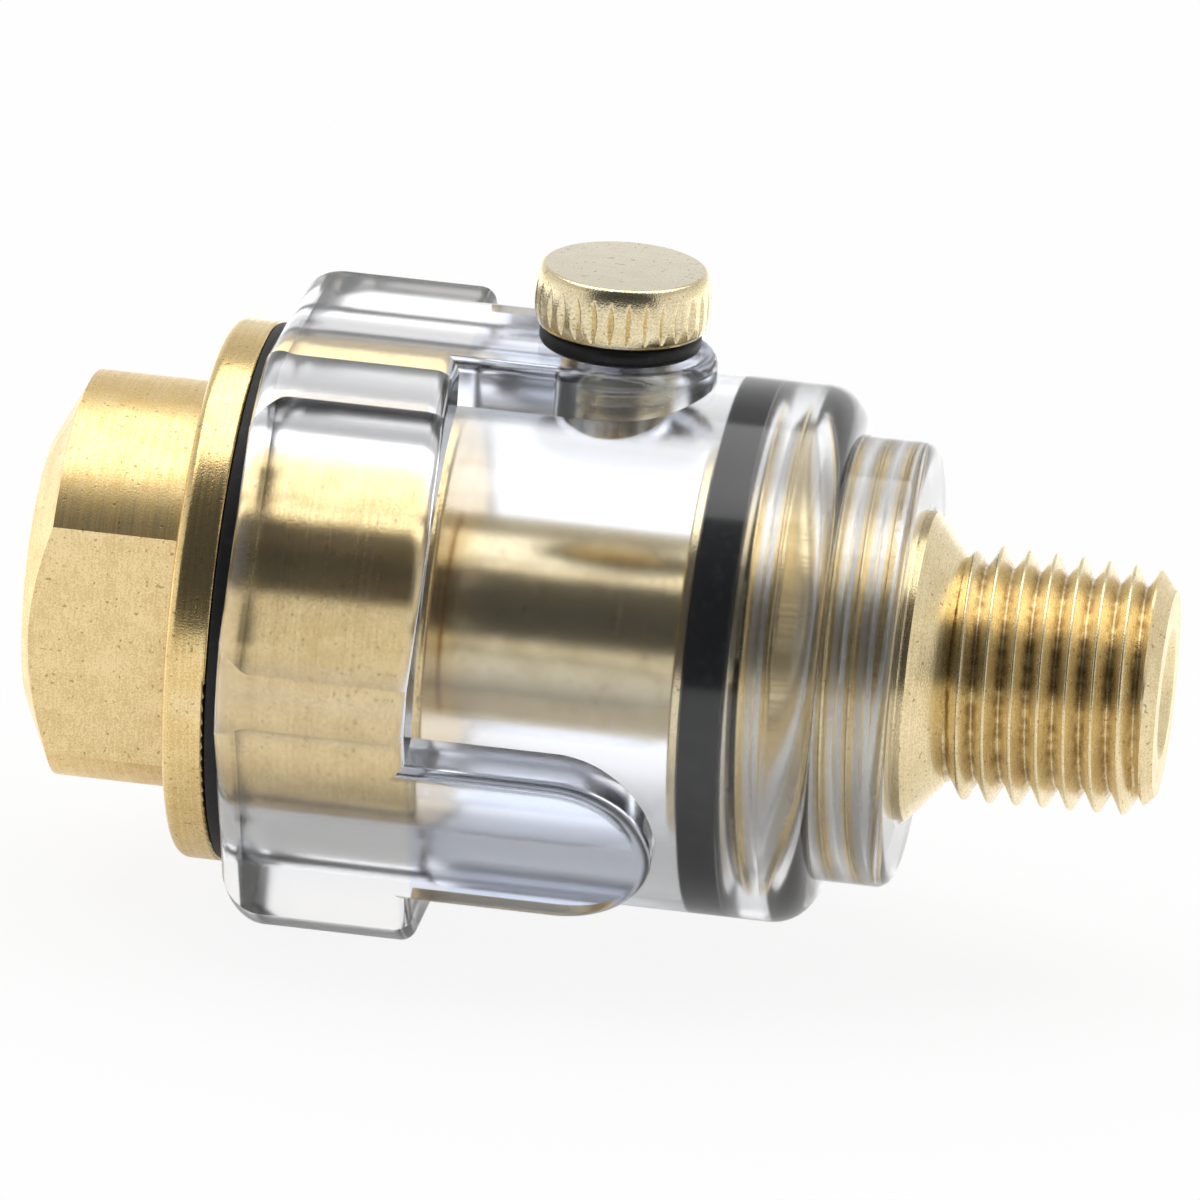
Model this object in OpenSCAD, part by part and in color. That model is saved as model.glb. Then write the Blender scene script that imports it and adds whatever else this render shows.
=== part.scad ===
// In-line air tool lubricator: a clear oil bowl clamped between a brass inlet body and a brass stem.
// The air runs along +X, from the inlet's female thread to the outlet's male thread.
// The fill screw points up, along +Z. The origin is on the axis, where the outlet thread begins.

/* [Inlet body] */
// Diameter of the round inlet end
inlet_d = 21.5; // [20:0.1:25]
// Length of the inlet end, from its face to the flange
inlet_l = 8.7; // [7:0.1:14]
// Distance across the two wrench flats
inlet_af = 17; // [15:0.1:19]
// Angle by which the wrench flats stop short of facing straight forward
flats_turn = 7; // [0:1:90]
// Diameter of the flat ring on the inlet's face
inlet_face_d = 14.8; // [14.6:0.1:17]
// Length of the sloping edge round the inlet's face
inlet_slope_l = 1.7; // [0.5:0.1:3]
// Diameter of the clamping flange
flange_d = 28.6; // [28:0.1:32]
// Thickness of the clamping flange
flange_t = 2.3; // [1.5:0.1:4]
// Rounding of the flange's outer edge
flange_round = 0.6; // [0.2:0.05:0.7]
// Length of the spigot that reaches into the bowl
spigot_l = 11; // [9:0.1:13]
// Length of the spigot's full-size land, from the flange
spigot_land_l = 2.3; // [1.5:0.1:4]
// Radial step from the land down to the rest of the spigot
spigot_step = 0.12; // [0.05:0.01:0.4]
// Diameter at the root of the inlet's female pipe thread
inlet_bore_d = 13.4; // [12.6:0.1:13.6]
// Depth of the inlet's female pipe thread
inlet_bore_l = 10.5; // [8:0.1:12]
// Mouth chamfer of the inlet's thread
inlet_mouth = 0.5; // [0.2:0.05:0.6]
// Diameter of the air passage behind the inlet's thread
passage_d = 8.4; // [7.6:0.1:9.4]

/* [Bowl] */
// Diameter of the bowl's skirt
skirt_d = 34.8; // [33:0.1:38]
// Length of the skirt
skirt_l = 10.15; // [8:0.05:13]
// Rounding of the skirt's edge at the inlet side
skirt_lip_round = 2.05; // [0.5:0.05:2.3]
// Rounding of the skirt's edge at the outlet side
skirt_round = 0.9; // [0.2:0.05:1.5]
// Height of the skirt's wrench flats above the axis, which is also the height of the ribs
flat_h = 15.75; // [15.2:0.05:16.2]
// Rounding of the wrench flats' edge at the inlet side
flat_lip_round = 1.4; // [0.5:0.05:1.5]
// Number of wrench flats round the skirt
flat_count = 6; // [3:1:6]
// Number of ribs round the bowl
rib_count = 3; // [2:1:4]
// Width of a rib
rib_w = 10.4; // [9:0.1:12]
// Rounding along a rib's upper edge
rib_round = 0.7; // [0.2:0.05:0.9]
// Diameter of the barrel
barrel_d = 28.4; // [27.4:0.1:29.6]
// Length from the bowl's open face to the shoulder
bowl_l = 30.65; // [29.5:0.05:36]
// Rounding of the shoulder
shoulder_round = 2.3; // [0.5:0.05:2.3]
// Diameter of the neck
neck_d = 23.5; // [20:0.1:23.8]
// Length of the neck
neck_l = 3.8; // [2.5:0.1:6]
// Rounding of the neck's end
neck_round = 0.8; // [0.2:0.05:1.2]
// Diameter of the oil chamber
chamber_d = 21.2; // [20.6:0.1:22]
// Depth of the oil chamber
chamber_l = 25.85; // [25:0.05:27.5]
// Distance from the neck's end to the stem's cone
neck_stand_back = 0.4; // [0.2:0.05:0.6]
// Chamfer at the mouth of the neck's thread
neck_mouth = 0.3; // [0.1:0.05:0.5]
// Distance from the bowl's open face to the fill screw
fill_x = 17.75; // [17:0.05:19]

/* [Stem] */
// Diameter of the stem's end that screws into the spigot
stem_end_d = 10; // [9.6:0.1:10.6]
// Length of the end that screws into the spigot
stem_end_l = 7.5; // [5:0.1:8.5]
// Room in the spigot beyond the stem's end
stem_end_room = 0.3; // [0.2:0.05:0.6]
// Diameter of the tube that crosses the oil chamber
tube_d = 10.9; // [10.8:0.1:11.8]
// Diameter of the collar that presses on the outlet seal
collar_d = 20.4; // [18.5:0.1:20.5]
// Thickness of the collar
collar_t = 0.6; // [0.4:0.1:1.2]
// Diameter of the thread in the bowl's neck
stem_thread_d = 16.3; // [15:0.1:17.2]
// Length of the cone between the neck's thread and the outlet's thread
cone_l = 1.6; // [1:0.1:3]
// Diameter of the groove at the foot of the cone
undercut_d = 12.8; // [12:0.1:13.2]
// Width of the slope from that groove up to the outlet's thread
undercut_l = 0.2; // [0.1:0.05:0.4]
// Outer diameter of the outlet's male pipe thread
outlet_d = 13.3; // [13.2:0.05:14.5]
// Length of the outlet's male pipe thread
outlet_l = 11.1; // [8:0.1:16]
// Pitch of the outlet's thread, whose turns are plain rings here
outlet_pitch = 1.411; // [1.2:0.001:1.6]
// Width of the land on each of those rings
outlet_land = 0.2; // [0.1:0.02:0.4]
// End chamfer of the outlet's thread
outlet_chamfer = 1.05; // [0.3:0.05:1.2]
// Diameter of the air bore through the stem
air_bore_d = 5.2; // [4:0.1:5.6]
// Diameter of the counterbore that holds the metering screw
meter_bore_d = 7; // [6.4:0.1:7.4]
// Distance from the spigot's end to the oil port
port_x = 3; // [2.2:0.1:6]
// Diameter of the oil port in the tube's wall
port_d = 1.6; // [1:0.1:2]

/* [Seals] */
// Thickness of the inlet seal
inlet_seal_t = 1; // [0.8:0.05:1.6]
// Diameter of the inlet seal
inlet_seal_d = 28.4; // [26:0.1:28.5]
// Gap between the flange and the bowl that the inlet seal shows in
inlet_gap = 0.75; // [0.2:0.05:0.9]
// Width of the outlet seal
outlet_seal_w = 2.1; // [1.5:0.1:2.6]
// Rounding of the seals' edges
seal_round = 0.3; // [0.1:0.05:0.35]

/* [Fill screw] */
// Diameter of the knurled knob
knob_d = 9.2; // [8.8:0.1:10.2]
// Height of the knob
knob_h = 3.3; // [2.6:0.1:5]
// Rounding of the knob's upper edge
knob_round = 0.8; // [0.3:0.05:1]
// Rounding of the knob's lower edge
knob_foot_round = 0.5; // [0.2:0.05:0.8]
// Number of ridges on the knob
knurl_count = 30; // [20:1:40]
// Depth of the knurl
knurl_depth = 0.28; // [0.1:0.02:0.4]
// Height that the knob's round surface takes off each ridge
knurl_land = 0.08; // [0.04:0.01:0.12]
// Outer diameter of the fill screw's thread
fill_thread_d = 6; // [5:0.1:6.2]
// Length of the fill screw below its knob
fill_shank_l = 5.9; // [4:0.1:6]
// Chamfer at the tip of the fill screw
fill_tip = 0.5; // [0.2:0.05:0.8]
// Outer diameter of the fill screw's seal
fill_seal_d = 8.5; // [7.9:0.1:8.7]
// Inner diameter of the fill screw's seal
fill_seal_bore = 6.4; // [6.3:0.05:6.8]
// Thickness of the fill screw's seal
fill_seal_t = 1; // [0.7:0.05:1.4]
// Rounding of the fill screw's seal
fill_seal_round = 0.42; // [0.1:0.02:0.44]

/* [Metering screw] */
// Length of the hollow metering screw
meter_l = 8; // [6:0.1:8.5]
// Bore of the metering screw
meter_hole_d = 4; // [3:0.1:4.4]
// Distance from the metering screw's end to the middle of the oil port
meter_cover = 0.8; // [0.8:0.05:2]
// Travel of the metering screw past the oil port
meter_travel = 0.8; // [0.4:0.1:1.2]
// Width of the screwdriver slot
slot_w = 0.9; // [0.6:0.1:1.2]
// Depth of the screwdriver slot
slot_l = 1.2; // [0.8:0.1:1.6]
// Width of the groove for the metering screw's seal
meter_groove_w = 1.3; // [1:0.1:1.6]
// Depth of the groove for the metering screw's seal
meter_groove_h = 0.65; // [0.4:0.05:0.7]
// Distance from the slotted end to the seal's groove
meter_groove_x = 3.5; // [2:0.1:4]

/* [Fits] */
// Radial clearance of a screw in its hole
thread_fit = 0.05; // [0.02:0.01:0.1]
// Radial clearance of the spigot's land in the oil chamber
spigot_fit = 0.1; // [0.05:0.01:0.15]
// Clearance of a seal against what it rests on
seal_fit = 0.03; // [0.01:0.01:0.05]
// Clearance of a brass face against the brass face it is tightened on
seat_fit = 0.02; // [0.01:0.01:0.05]

/* [Hidden] */
$fn = 96;
over = 1;
brass = [0.80, 0.63, 0.30];
pale_brass = [0.84, 0.74, 0.46];
clear = [0.80, 0.84, 0.90, 0.45];
rubber = [0.07, 0.07, 0.08];
felt = [0.86, 0.83, 0.74];

// Stations along the axis, counted back from the outlet thread
x_cone = -cone_l - undercut_l;
x_neck_end = x_cone - neck_stand_back;
x_shoulder = x_neck_end - neck_l;
x_bowl_face = x_shoulder - bowl_l;
x_skirt_end = x_bowl_face + skirt_l;
x_chamber_end = x_bowl_face + chamber_l;
x_outlet_seal = x_chamber_end - outlet_seal_w;
x_collar = x_outlet_seal - collar_t;
x_flange_end = x_bowl_face - inlet_gap;
x_flange = x_flange_end - flange_t;
x_inlet = x_flange - inlet_l;
x_spigot_land = x_flange_end + spigot_land_l;
x_spigot_end = x_flange_end + spigot_l;
x_stem_end = x_spigot_end - stem_end_l;
x_fill = x_bowl_face + fill_x;
x_port = x_spigot_end + port_x;
x_meter_end = x_port - meter_cover;
x_meter = x_meter_end - meter_l;
x_meter_bore_end = x_port + port_d / 2 + meter_travel;
x_groove = x_meter + meter_groove_x;
seal_recess = inlet_seal_t - inlet_gap;

// The outlet thread's rings, with the flanks of a 60 degree thread
outlet_r = outlet_d / 2;
ring_count = floor((outlet_l - outlet_chamfer) / outlet_pitch);
groove_depth = (outlet_pitch - outlet_land) / 2 / tan(30);

// Radii that two pieces share
spigot_r = chamber_d / 2 - spigot_fit;
spigot_round = flange_round / 2;
flange_back_round = flange_round / 3;
stem_thread_r = stem_thread_d / 2;
barrel_r = barrel_d / 2;
rib_foot = (chamber_d / 2 + sqrt(pow(barrel_r, 2) - pow(rib_w / 2, 2))) / 2;
meter_r = meter_bore_d / 2 - thread_fit;
meter_groove_r = meter_r - meter_groove_h;
meter_seal_round = seal_round / 2;

// Heights of the fill screw
z_fill_seal = flat_h + seal_fit;
z_knob = z_fill_seal + fill_seal_t + seal_fit;
fill_r = fill_thread_d / 2;

// A profile of radius and station, turned about the axis
module turned() {
    rotate([0, 90, 0])
        rotate_extrude()
            children();
}

// A rectangle of a profile between two radii and two stations
module band(r_in, r_out, from, to) {
    translate([r_in, from])
        square([r_out - r_in, to - from]);
}

// What a rounding takes off a profile's corner: away holds the signs of the corner's outer directions
module corner(at, away, r) {
    translate([at[0] - away[0] * r, at[1] - away[1] * r])
        difference() {
            translate([away[0] > 0 ? 0 : -r - over, away[1] > 0 ? 0 : -r - over])
                square(r + over);
            circle(r);
        }
}

// A seal's section with its four edges rounded
module seal_section(r_in, r_out, from, to, r) {
    difference() {
        band(r_in, r_out, from, to);
        corner([r_out, from], [1, -1], r);
        corner([r_out, to], [1, 1], r);
        corner([r_in, from], [-1, -1], r);
        corner([r_in, to], [-1, 1], r);
    }
}

// The inlet body is turned from brass bar, with two flats milled for a wrench
module inlet_body() {
    color(brass)
        difference() {
            turned()
                inlet_section();
            for (side = [0, 180])
                rotate([side + flats_turn, 0, 0])
                    translate([x_inlet - over, -inlet_d - inlet_af / 2, -inlet_d])
                        cube([inlet_l + over, inlet_d, 2 * inlet_d]);
        }
}

module inlet_section() {
    difference() {
        union() {
            polygon([
                [0, x_inlet],
                [inlet_face_d / 2, x_inlet],
                [inlet_d / 2, x_inlet + inlet_slope_l],
                [inlet_d / 2, x_flange_end],
                [0, x_flange_end]
            ]);
            difference() {
                band(0, flange_d / 2, x_flange, x_flange_end);
                corner([flange_d / 2, x_flange], [1, -1], flange_round);
                corner([flange_d / 2, x_flange_end], [1, 1], flange_back_round);
            }
            band(0, spigot_r, x_flange, x_spigot_land);
            difference() {
                band(0, spigot_r - spigot_step, x_flange, x_spigot_end);
                corner([spigot_r - spigot_step, x_spigot_end], [1, 1], spigot_round);
            }
        }
        band(0, inlet_bore_d / 2, x_inlet - over, x_inlet + inlet_bore_l);
        band(0, passage_d / 2, x_inlet, x_stem_end);
        band(0, stem_end_d / 2 + thread_fit, x_stem_end - stem_end_room, x_spigot_end + over);
        polygon([
            [0, x_inlet - over],
            [inlet_bore_d / 2 + inlet_mouth + over, x_inlet - over],
            [inlet_bore_d / 2, x_inlet + inlet_mouth],
            [0, x_inlet + inlet_mouth]
        ]);
    }
}

// The stem is turned from brass bar: tube, collar, neck thread, cone and outlet thread in one piece
module stem() {
    color(brass)
        difference() {
            turned()
                stem_section();
            translate([x_port, 0, -tube_d])
                cylinder(d = port_d, h = tube_d);
        }
}

module stem_section() {
    difference() {
        union() {
            band(0, stem_end_d / 2, x_stem_end, x_collar);
            band(0, tube_d / 2, x_spigot_end + seat_fit, x_collar + over);
            band(0, collar_d / 2, x_collar, x_outlet_seal - seal_fit);
            band(0, stem_thread_r, x_collar, x_cone);
            polygon([
                [0, x_cone],
                [stem_thread_r, x_cone],
                [undercut_d / 2, -undercut_l],
                [outlet_r, 0],
                for (i = [0 : ring_count - 1])
                    each thread_groove(i * outlet_pitch),
                [outlet_r, outlet_l - outlet_chamfer],
                [outlet_r - outlet_chamfer, outlet_l],
                [0, outlet_l]
            ]);
        }
        band(0, air_bore_d / 2, x_stem_end - over, outlet_l + over);
        band(0, meter_bore_d / 2, x_stem_end - over, x_meter_bore_end);
    }
}

// The corners of one groove of the outlet thread, after the land that starts at a station
function thread_groove(from) = [
    [outlet_r, from + outlet_land],
    [outlet_r - groove_depth, from + (outlet_land + outlet_pitch) / 2],
    [outlet_r, from + outlet_pitch]
];

// The bowl is moulded from clear plastic: skirt with flats, barrel, ribs and neck in one piece
module reservoir() {
    color(clear)
        difference() {
            union() {
                flatted_skirt();
                turned()
                    barrel_section();
                for (i = [0 : rib_count - 1])
                    rotate([i * 360 / rib_count, 0, 0])
                        rib();
            }
            turned()
                bowl_hollow();
            translate([x_fill, 0, 0])
                cylinder(r = fill_r + thread_fit, h = flat_h + over);
        }
}

module flatted_skirt() {
    difference() {
        turned()
            difference() {
                band(0, skirt_d / 2, x_bowl_face, x_skirt_end);
                corner([skirt_d / 2, x_bowl_face], [1, -1], skirt_lip_round);
                corner([skirt_d / 2, x_skirt_end], [1, 1], skirt_round);
            }
        for (i = [0 : flat_count - 1])
            rotate([i * 360 / flat_count, 0, 0])
                flat_cut();
    }
}

// What one wrench flat takes off the skirt, with both its ends rounded
module flat_cut() {
    rotate([90, 0, 0])
        linear_extrude(skirt_d, center = true) {
            translate([x_bowl_face - over, flat_h])
                square([skirt_l + 2 * over, skirt_d]);
            corner([x_bowl_face, flat_h], [-1, 1], flat_lip_round);
            corner([x_skirt_end, flat_h], [1, 1], skirt_round);
        }
}

module barrel_section() {
    difference() {
        band(0, barrel_r, x_bowl_face + over, x_shoulder);
        corner([barrel_r, x_shoulder], [1, 1], shoulder_round);
    }
    difference() {
        band(0, neck_d / 2, x_bowl_face + over, x_neck_end);
        corner([neck_d / 2, x_neck_end], [1, 1], neck_round);
    }
}

// One rib: a straight bar from the skirt with a round end, both with the upper edge rounded
module rib() {
    translate([x_skirt_end - over, 0, 0])
        rotate([90, 0, 90])
            linear_extrude(x_fill - x_skirt_end + over)
                difference() {
                    band(-rib_w / 2, rib_w / 2, rib_foot, flat_h);
                    corner([rib_w / 2, flat_h], [1, 1], rib_round);
                    corner([-rib_w / 2, flat_h], [-1, 1], rib_round);
                }
    translate([x_fill, 0, 0])
        rotate_extrude()
            difference() {
                band(0, rib_w / 2, rib_foot, flat_h);
                corner([rib_w / 2, flat_h], [1, 1], rib_round);
            }
}

module bowl_hollow() {
    neck_bore_r = stem_thread_r + thread_fit;
    band(0, inlet_seal_d / 2 + seal_fit, x_bowl_face - over, x_bowl_face + seal_recess);
    band(0, chamber_d / 2, x_bowl_face - over, x_chamber_end);
    band(0, neck_bore_r, x_bowl_face, x_neck_end + over);
    polygon([
        [0, x_neck_end - neck_mouth],
        [neck_bore_r, x_neck_end - neck_mouth],
        [neck_bore_r + neck_mouth + over, x_neck_end + over],
        [0, x_neck_end + over]
    ]);
}

// The inlet seal is a flat rubber ring between the flange and the bowl's recess
module inlet_seal() {
    color(rubber)
        turned()
            seal_section(
                spigot_r + seal_fit, inlet_seal_d / 2,
                x_flange_end + seal_fit, x_bowl_face + seal_recess - seal_fit, seal_round
            );
}

// The outlet seal is a rubber ring that the collar presses into the end of the chamber
module outlet_seal() {
    color(rubber)
        turned()
            seal_section(
                stem_thread_r + seal_fit, chamber_d / 2 - seal_fit,
                x_outlet_seal, x_chamber_end - seal_fit, seal_round
            );
}

// The wick is a felt plug in the oil port of the tube
module oil_wick() {
    wick_in = meter_bore_d / 2 + thread_fit;
    color(felt)
        translate([x_port, 0, -tube_d / 2 + thread_fit])
            cylinder(d = port_d - 2 * seat_fit, h = tube_d / 2 - thread_fit - wick_in);
}

// The fill screw's seal is a small ring under its knob
module fill_screw_seal() {
    color(rubber)
        translate([x_fill, 0, 0])
            rotate_extrude()
                seal_section(
                    fill_seal_bore / 2, fill_seal_d / 2,
                    z_fill_seal, z_fill_seal + fill_seal_t, fill_seal_round
                );
}

// The fill screw is turned from brass, with a straight knurl round its knob
module fill_screw() {
    color(pale_brass)
        translate([x_fill, 0, z_knob]) {
            intersection() {
                rotate_extrude()
                    difference() {
                        band(0, knob_d / 2, 0, knob_h);
                        corner([knob_d / 2, knob_h], [1, 1], knob_round);
                        corner([knob_d / 2, 0], [1, -1], knob_foot_round);
                    }
                linear_extrude(knob_h)
                    knurled_outline();
            }
            rotate_extrude()
                polygon([
                    [0, over / 2],
                    [fill_r, over / 2],
                    [fill_r, fill_tip - fill_shank_l],
                    [fill_r - fill_tip, -fill_shank_l],
                    [0, -fill_shank_l]
                ]);
        }
}

// The knob from above: ridges with V-shaped grooves between them
module knurled_outline() {
    half_step = 180 / knurl_count;
    ridge_r = knob_d / 2 + knurl_land;
    groove_r = knob_d / 2 - knurl_depth;
    polygon([
        for (i = [0 : 2 * knurl_count - 1])
            let (r = i % 2 == 0 ? ridge_r : groove_r)
                [r * cos(i * half_step), r * sin(i * half_step)]
    ]);
}

// The metering screw's seal is a rubber ring in its groove
module metering_seal() {
    color(rubber)
        turned()
            seal_section(
                meter_groove_r + seal_fit, meter_bore_d / 2 - seal_fit,
                x_groove + seal_fit, x_groove + meter_groove_w - seal_fit, meter_seal_round
            );
}

// The metering screw is hollow and slotted: turning it covers the oil port more or less
module metering_screw() {
    color(brass)
        difference() {
            turned()
                difference() {
                    band(meter_hole_d / 2, meter_r, x_meter, x_meter_end);
                    band(meter_groove_r, meter_r + over, x_groove, x_groove + meter_groove_w);
                }
            translate([x_meter - over, -slot_w / 2, -meter_bore_d])
                cube([slot_l + over, slot_w, 2 * meter_bore_d]);
        }
}

inlet_body();
stem();
reservoir();
inlet_seal();
outlet_seal();
oil_wick();
fill_screw_seal();
fill_screw();
metering_seal();
metering_screw();
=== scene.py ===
import math

import bmesh
import bpy
from mathutils import Matrix, Vector


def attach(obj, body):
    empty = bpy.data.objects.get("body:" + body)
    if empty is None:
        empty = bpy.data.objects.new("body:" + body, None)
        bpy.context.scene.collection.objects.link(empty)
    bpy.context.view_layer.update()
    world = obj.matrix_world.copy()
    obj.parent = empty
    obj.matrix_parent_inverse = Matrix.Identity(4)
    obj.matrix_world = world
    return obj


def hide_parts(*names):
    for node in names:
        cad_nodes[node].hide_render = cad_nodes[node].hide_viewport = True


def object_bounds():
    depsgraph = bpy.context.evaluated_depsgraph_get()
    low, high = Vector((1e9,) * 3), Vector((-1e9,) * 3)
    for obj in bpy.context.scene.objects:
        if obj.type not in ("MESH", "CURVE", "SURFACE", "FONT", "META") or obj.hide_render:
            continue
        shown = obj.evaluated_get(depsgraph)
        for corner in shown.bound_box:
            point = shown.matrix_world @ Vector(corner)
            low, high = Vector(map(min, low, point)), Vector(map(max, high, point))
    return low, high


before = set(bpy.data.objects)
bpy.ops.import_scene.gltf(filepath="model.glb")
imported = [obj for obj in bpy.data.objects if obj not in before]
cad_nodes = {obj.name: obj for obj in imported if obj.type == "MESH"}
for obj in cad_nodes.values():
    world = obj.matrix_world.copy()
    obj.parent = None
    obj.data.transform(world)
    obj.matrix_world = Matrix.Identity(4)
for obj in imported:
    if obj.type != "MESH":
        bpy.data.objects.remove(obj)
cad_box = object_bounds()
mm = 0.001

# Inlet body: turned from brass bar, with two flats milled for a wrench, a flange that clamps the bowl
# and a spigot inside it. The lathe leaves fine rings round the axis and the mill leaves slanted lines.
# The solid from the part's source is shown, with the female pipe thread as a cut of its own inside it.
INLET_END = -48.4
FLANGE_START = -39.7
FLATS_TURN = math.radians(7)
PIPE_PITCH = 1.411
INLET_THREAD_ROOT = 6.72
INLET_THREAD_CREST = 5.75
INLET_THREAD_START = -48.2
INLET_THREAD_END = -38.2
INLET_SLEEVE = 0.1
BRASS_LIGHT = (0.93, 0.72, 0.36, 1)
BRASS_DEEP = (0.78, 0.555, 0.23, 1)
# The darkest brass tone colours the pits, and on the stem also the painted shade in the thread roots.
BRASS_PIT_AND_SHADE = (0.30, 0.19, 0.08, 1)
BRASS_FADED = (0.88, 0.84, 0.74, 1)
AROUND = 160


def add_node(tree, kind, inputs=(), **settings):
    """A shader node with its settings, and with its inputs set or linked by name."""
    made = tree.nodes.new(kind)
    for key, value in settings.items():
        setattr(made, key, value)
    for key, value in dict(inputs).items():
        if isinstance(value, bpy.types.NodeSocket):
            tree.links.new(value, made.inputs[key])
        else:
            made.inputs[key].default_value = value
    return made


def empty_material(name):
    """A material with one Principled shader on its output."""
    material = bpy.data.materials.new(name)
    material.use_nodes = True
    tree = material.node_tree
    tree.nodes.clear()
    shader = add_node(tree, "ShaderNodeBsdfPrincipled")
    output = add_node(tree, "ShaderNodeOutputMaterial")
    tree.links.new(shader.outputs[0], output.inputs["Surface"])
    return material, tree, shader


def noise(tree, place, scale, detail=2.0, roughness=0.5):
    """Noise from 0 to 1 at a place, with about scale lumps to the metre."""
    inputs = {"Vector": place, "Scale": scale, "Detail": detail, "Roughness": roughness}
    return add_node(tree, "ShaderNodeTexNoise", inputs).outputs[0]


def between(tree, value, low, high, to_low=0.0, to_high=1.0):
    """The part of a value between low and high, as a smooth step."""
    inputs = {"Value": value, "From Min": low, "From Max": high, "To Min": to_low, "To Max": to_high}
    made = add_node(tree, "ShaderNodeMapRange", inputs, interpolation_type="SMOOTHSTEP")
    return made.outputs[0]


def maths(tree, operation, first, second=0.0):
    """One sum on two values."""
    return add_node(tree, "ShaderNodeMath", {0: first, 1: second}, operation=operation).outputs[0]


def tint(tree, amount, first, second):
    """A colour between two colours."""
    made = add_node(tree, "ShaderNodeMix", data_type="RGBA")
    for socket, value in zip((made.inputs[0], made.inputs[6], made.inputs[7]), (amount, first, second)):
        if isinstance(value, bpy.types.NodeSocket):
            tree.links.new(value, socket)
        else:
            socket.default_value = value
    return made.outputs[2]


def turned_brass(name, light, deep, pit_and_shade, upright_at=None, marks=None, bands=(), grooves=None, grain=1.2):
    """Brass as it leaves the lathe: rings round the axis, speckle, pits and straight marks on a flat.

    upright_at is the station of an upright axis. marks holds a flat's direction, its marks' turn and
    stretch and how pale it has gone. Each of the bands holds two stations and the roughness between them.
    grooves holds a thread's crest radius, taper, depth and two ends, for the painted shade in its roots.
    grain is the speckle's height.
    """
    material, tree, shader = empty_material(name)
    place = add_node(tree, "ShaderNodeTexCoord").outputs["Object"]
    split = add_node(tree, "ShaderNodeSeparateXYZ", {0: place}).outputs
    along, across = (split[0], split[2])
    if upright_at is not None:
        along, across = split[2], maths(tree, "SUBTRACT", split[0], upright_at * mm)
    far = maths(tree, "ADD", maths(tree, "POWER", across, 2.0), maths(tree, "POWER", split[1], 2.0))
    far = maths(tree, "SQRT", far)
    ring_place = add_node(tree, "ShaderNodeCombineXYZ", {0: along, 1: far, 2: 0.0}).outputs[0]
    lines = noise(tree, ring_place, 9000.0, 0.0)
    if marks is not None:
        direction, turn, stretch, faded = marks
        slant = add_node(tree, "ShaderNodeMapping", {0: place, 2: turn, 3: stretch}).outputs[0]
        normal = add_node(tree, "ShaderNodeNewGeometry").outputs["Normal"]
        facing = add_node(tree, "ShaderNodeVectorMath", {0: normal, 1: direction}, operation="DOT_PRODUCT")
        on_flat = between(tree, maths(tree, "ABSOLUTE", facing.outputs["Value"]), 0.998, 0.9995)
        straight = noise(tree, slant, 9000.0, 0.0)
        lines = add_node(tree, "ShaderNodeMix", {0: on_flat, 2: lines, 3: straight}).outputs[0]
    mottle = noise(tree, place, 700.0, 1.0, 0.6)
    speckle = noise(tree, place, 11000.0, 0.0)
    pits = between(tree, noise(tree, place, 4200.0, 0.0), 0.74, 0.82)
    tone = maths(tree, "ADD", maths(tree, "MULTIPLY", mottle, 0.30), maths(tree, "MULTIPLY", speckle, 0.50))
    tone = maths(tree, "ADD", tone, maths(tree, "MULTIPLY", lines, 0.20))
    colour = tint(tree, between(tree, tone, 0.38, 0.62), light, deep)
    if marks is not None:
        colour = tint(tree, maths(tree, "MULTIPLY", on_flat, faded), colour, BRASS_FADED)
    colour = tint(tree, maths(tree, "MULTIPLY", pits, 0.6), colour, pit_and_shade)
    dull = maths(tree, "ADD", maths(tree, "MULTIPLY", lines, 0.08), maths(tree, "MULTIPLY", tone, 0.20))
    for start, end, more in bands:
        inside = maths(tree, "GREATER_THAN", along, start * mm)
        inside = maths(tree, "MULTIPLY", inside, maths(tree, "LESS_THAN", along, end * mm))
        dull = maths(tree, "ADD", dull, maths(tree, "MULTIPLY", inside, more))
    # Painted shade: a thread's roots are darkened in patches, most where they lie deepest below the crest.
    if grooves is not None:
        crest, taper, depth, begin, stop = grooves
        crest_line = maths(tree, "SUBTRACT", crest * mm, maths(tree, "MULTIPLY", along, taper))
        sunk = maths(tree, "SUBTRACT", crest_line, far)
        root_shade = between(tree, sunk, 0.35 * depth * mm, depth * mm, 0.0, 0.6)
        patches = between(tree, noise(tree, place, 1800.0, 1.0), 0.35, 0.65, 0.15, 1.0)
        root_shade = maths(tree, "MULTIPLY", root_shade, patches)
        root_shade = maths(tree, "MULTIPLY", root_shade, maths(tree, "GREATER_THAN", along, begin * mm))
        root_shade = maths(tree, "MULTIPLY", root_shade, maths(tree, "LESS_THAN", along, stop * mm))
        colour = tint(tree, root_shade, colour, pit_and_shade)
    tree.links.new(colour, shader.inputs["Base Color"])
    shader.inputs["Metallic"].default_value = 1.0
    tree.links.new(maths(tree, "ADD", dull, 0.09), shader.inputs["Roughness"])
    height = maths(tree, "ADD", maths(tree, "MULTIPLY", lines, 0.5), maths(tree, "MULTIPLY", speckle, grain))
    height = maths(tree, "ADD", height, maths(tree, "MULTIPLY", mottle, 4.0))
    height = maths(tree, "SUBTRACT", height, pits)
    bump_inputs = {"Strength": 0.7, "Distance": 0.005 * mm, "Height": height}
    tree.links.new(add_node(tree, "ShaderNodeBump", bump_inputs).outputs[0], shader.inputs["Normal"])
    return material


def dress(piece, material):
    """Gives a piece one material all over."""
    piece.data.materials.clear()
    piece.data.materials.append(material)
    return piece


def on_axis(station, radius, angle):
    """A point round the air line's axis; angle 0 is towards +Y."""
    return Vector((station * mm, radius * math.cos(angle) * mm, radius * math.sin(angle) * mm))


def angles(around):
    """The angles of the points of one ring."""
    return [2 * math.pi * i / around for i in range(around)]


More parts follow.
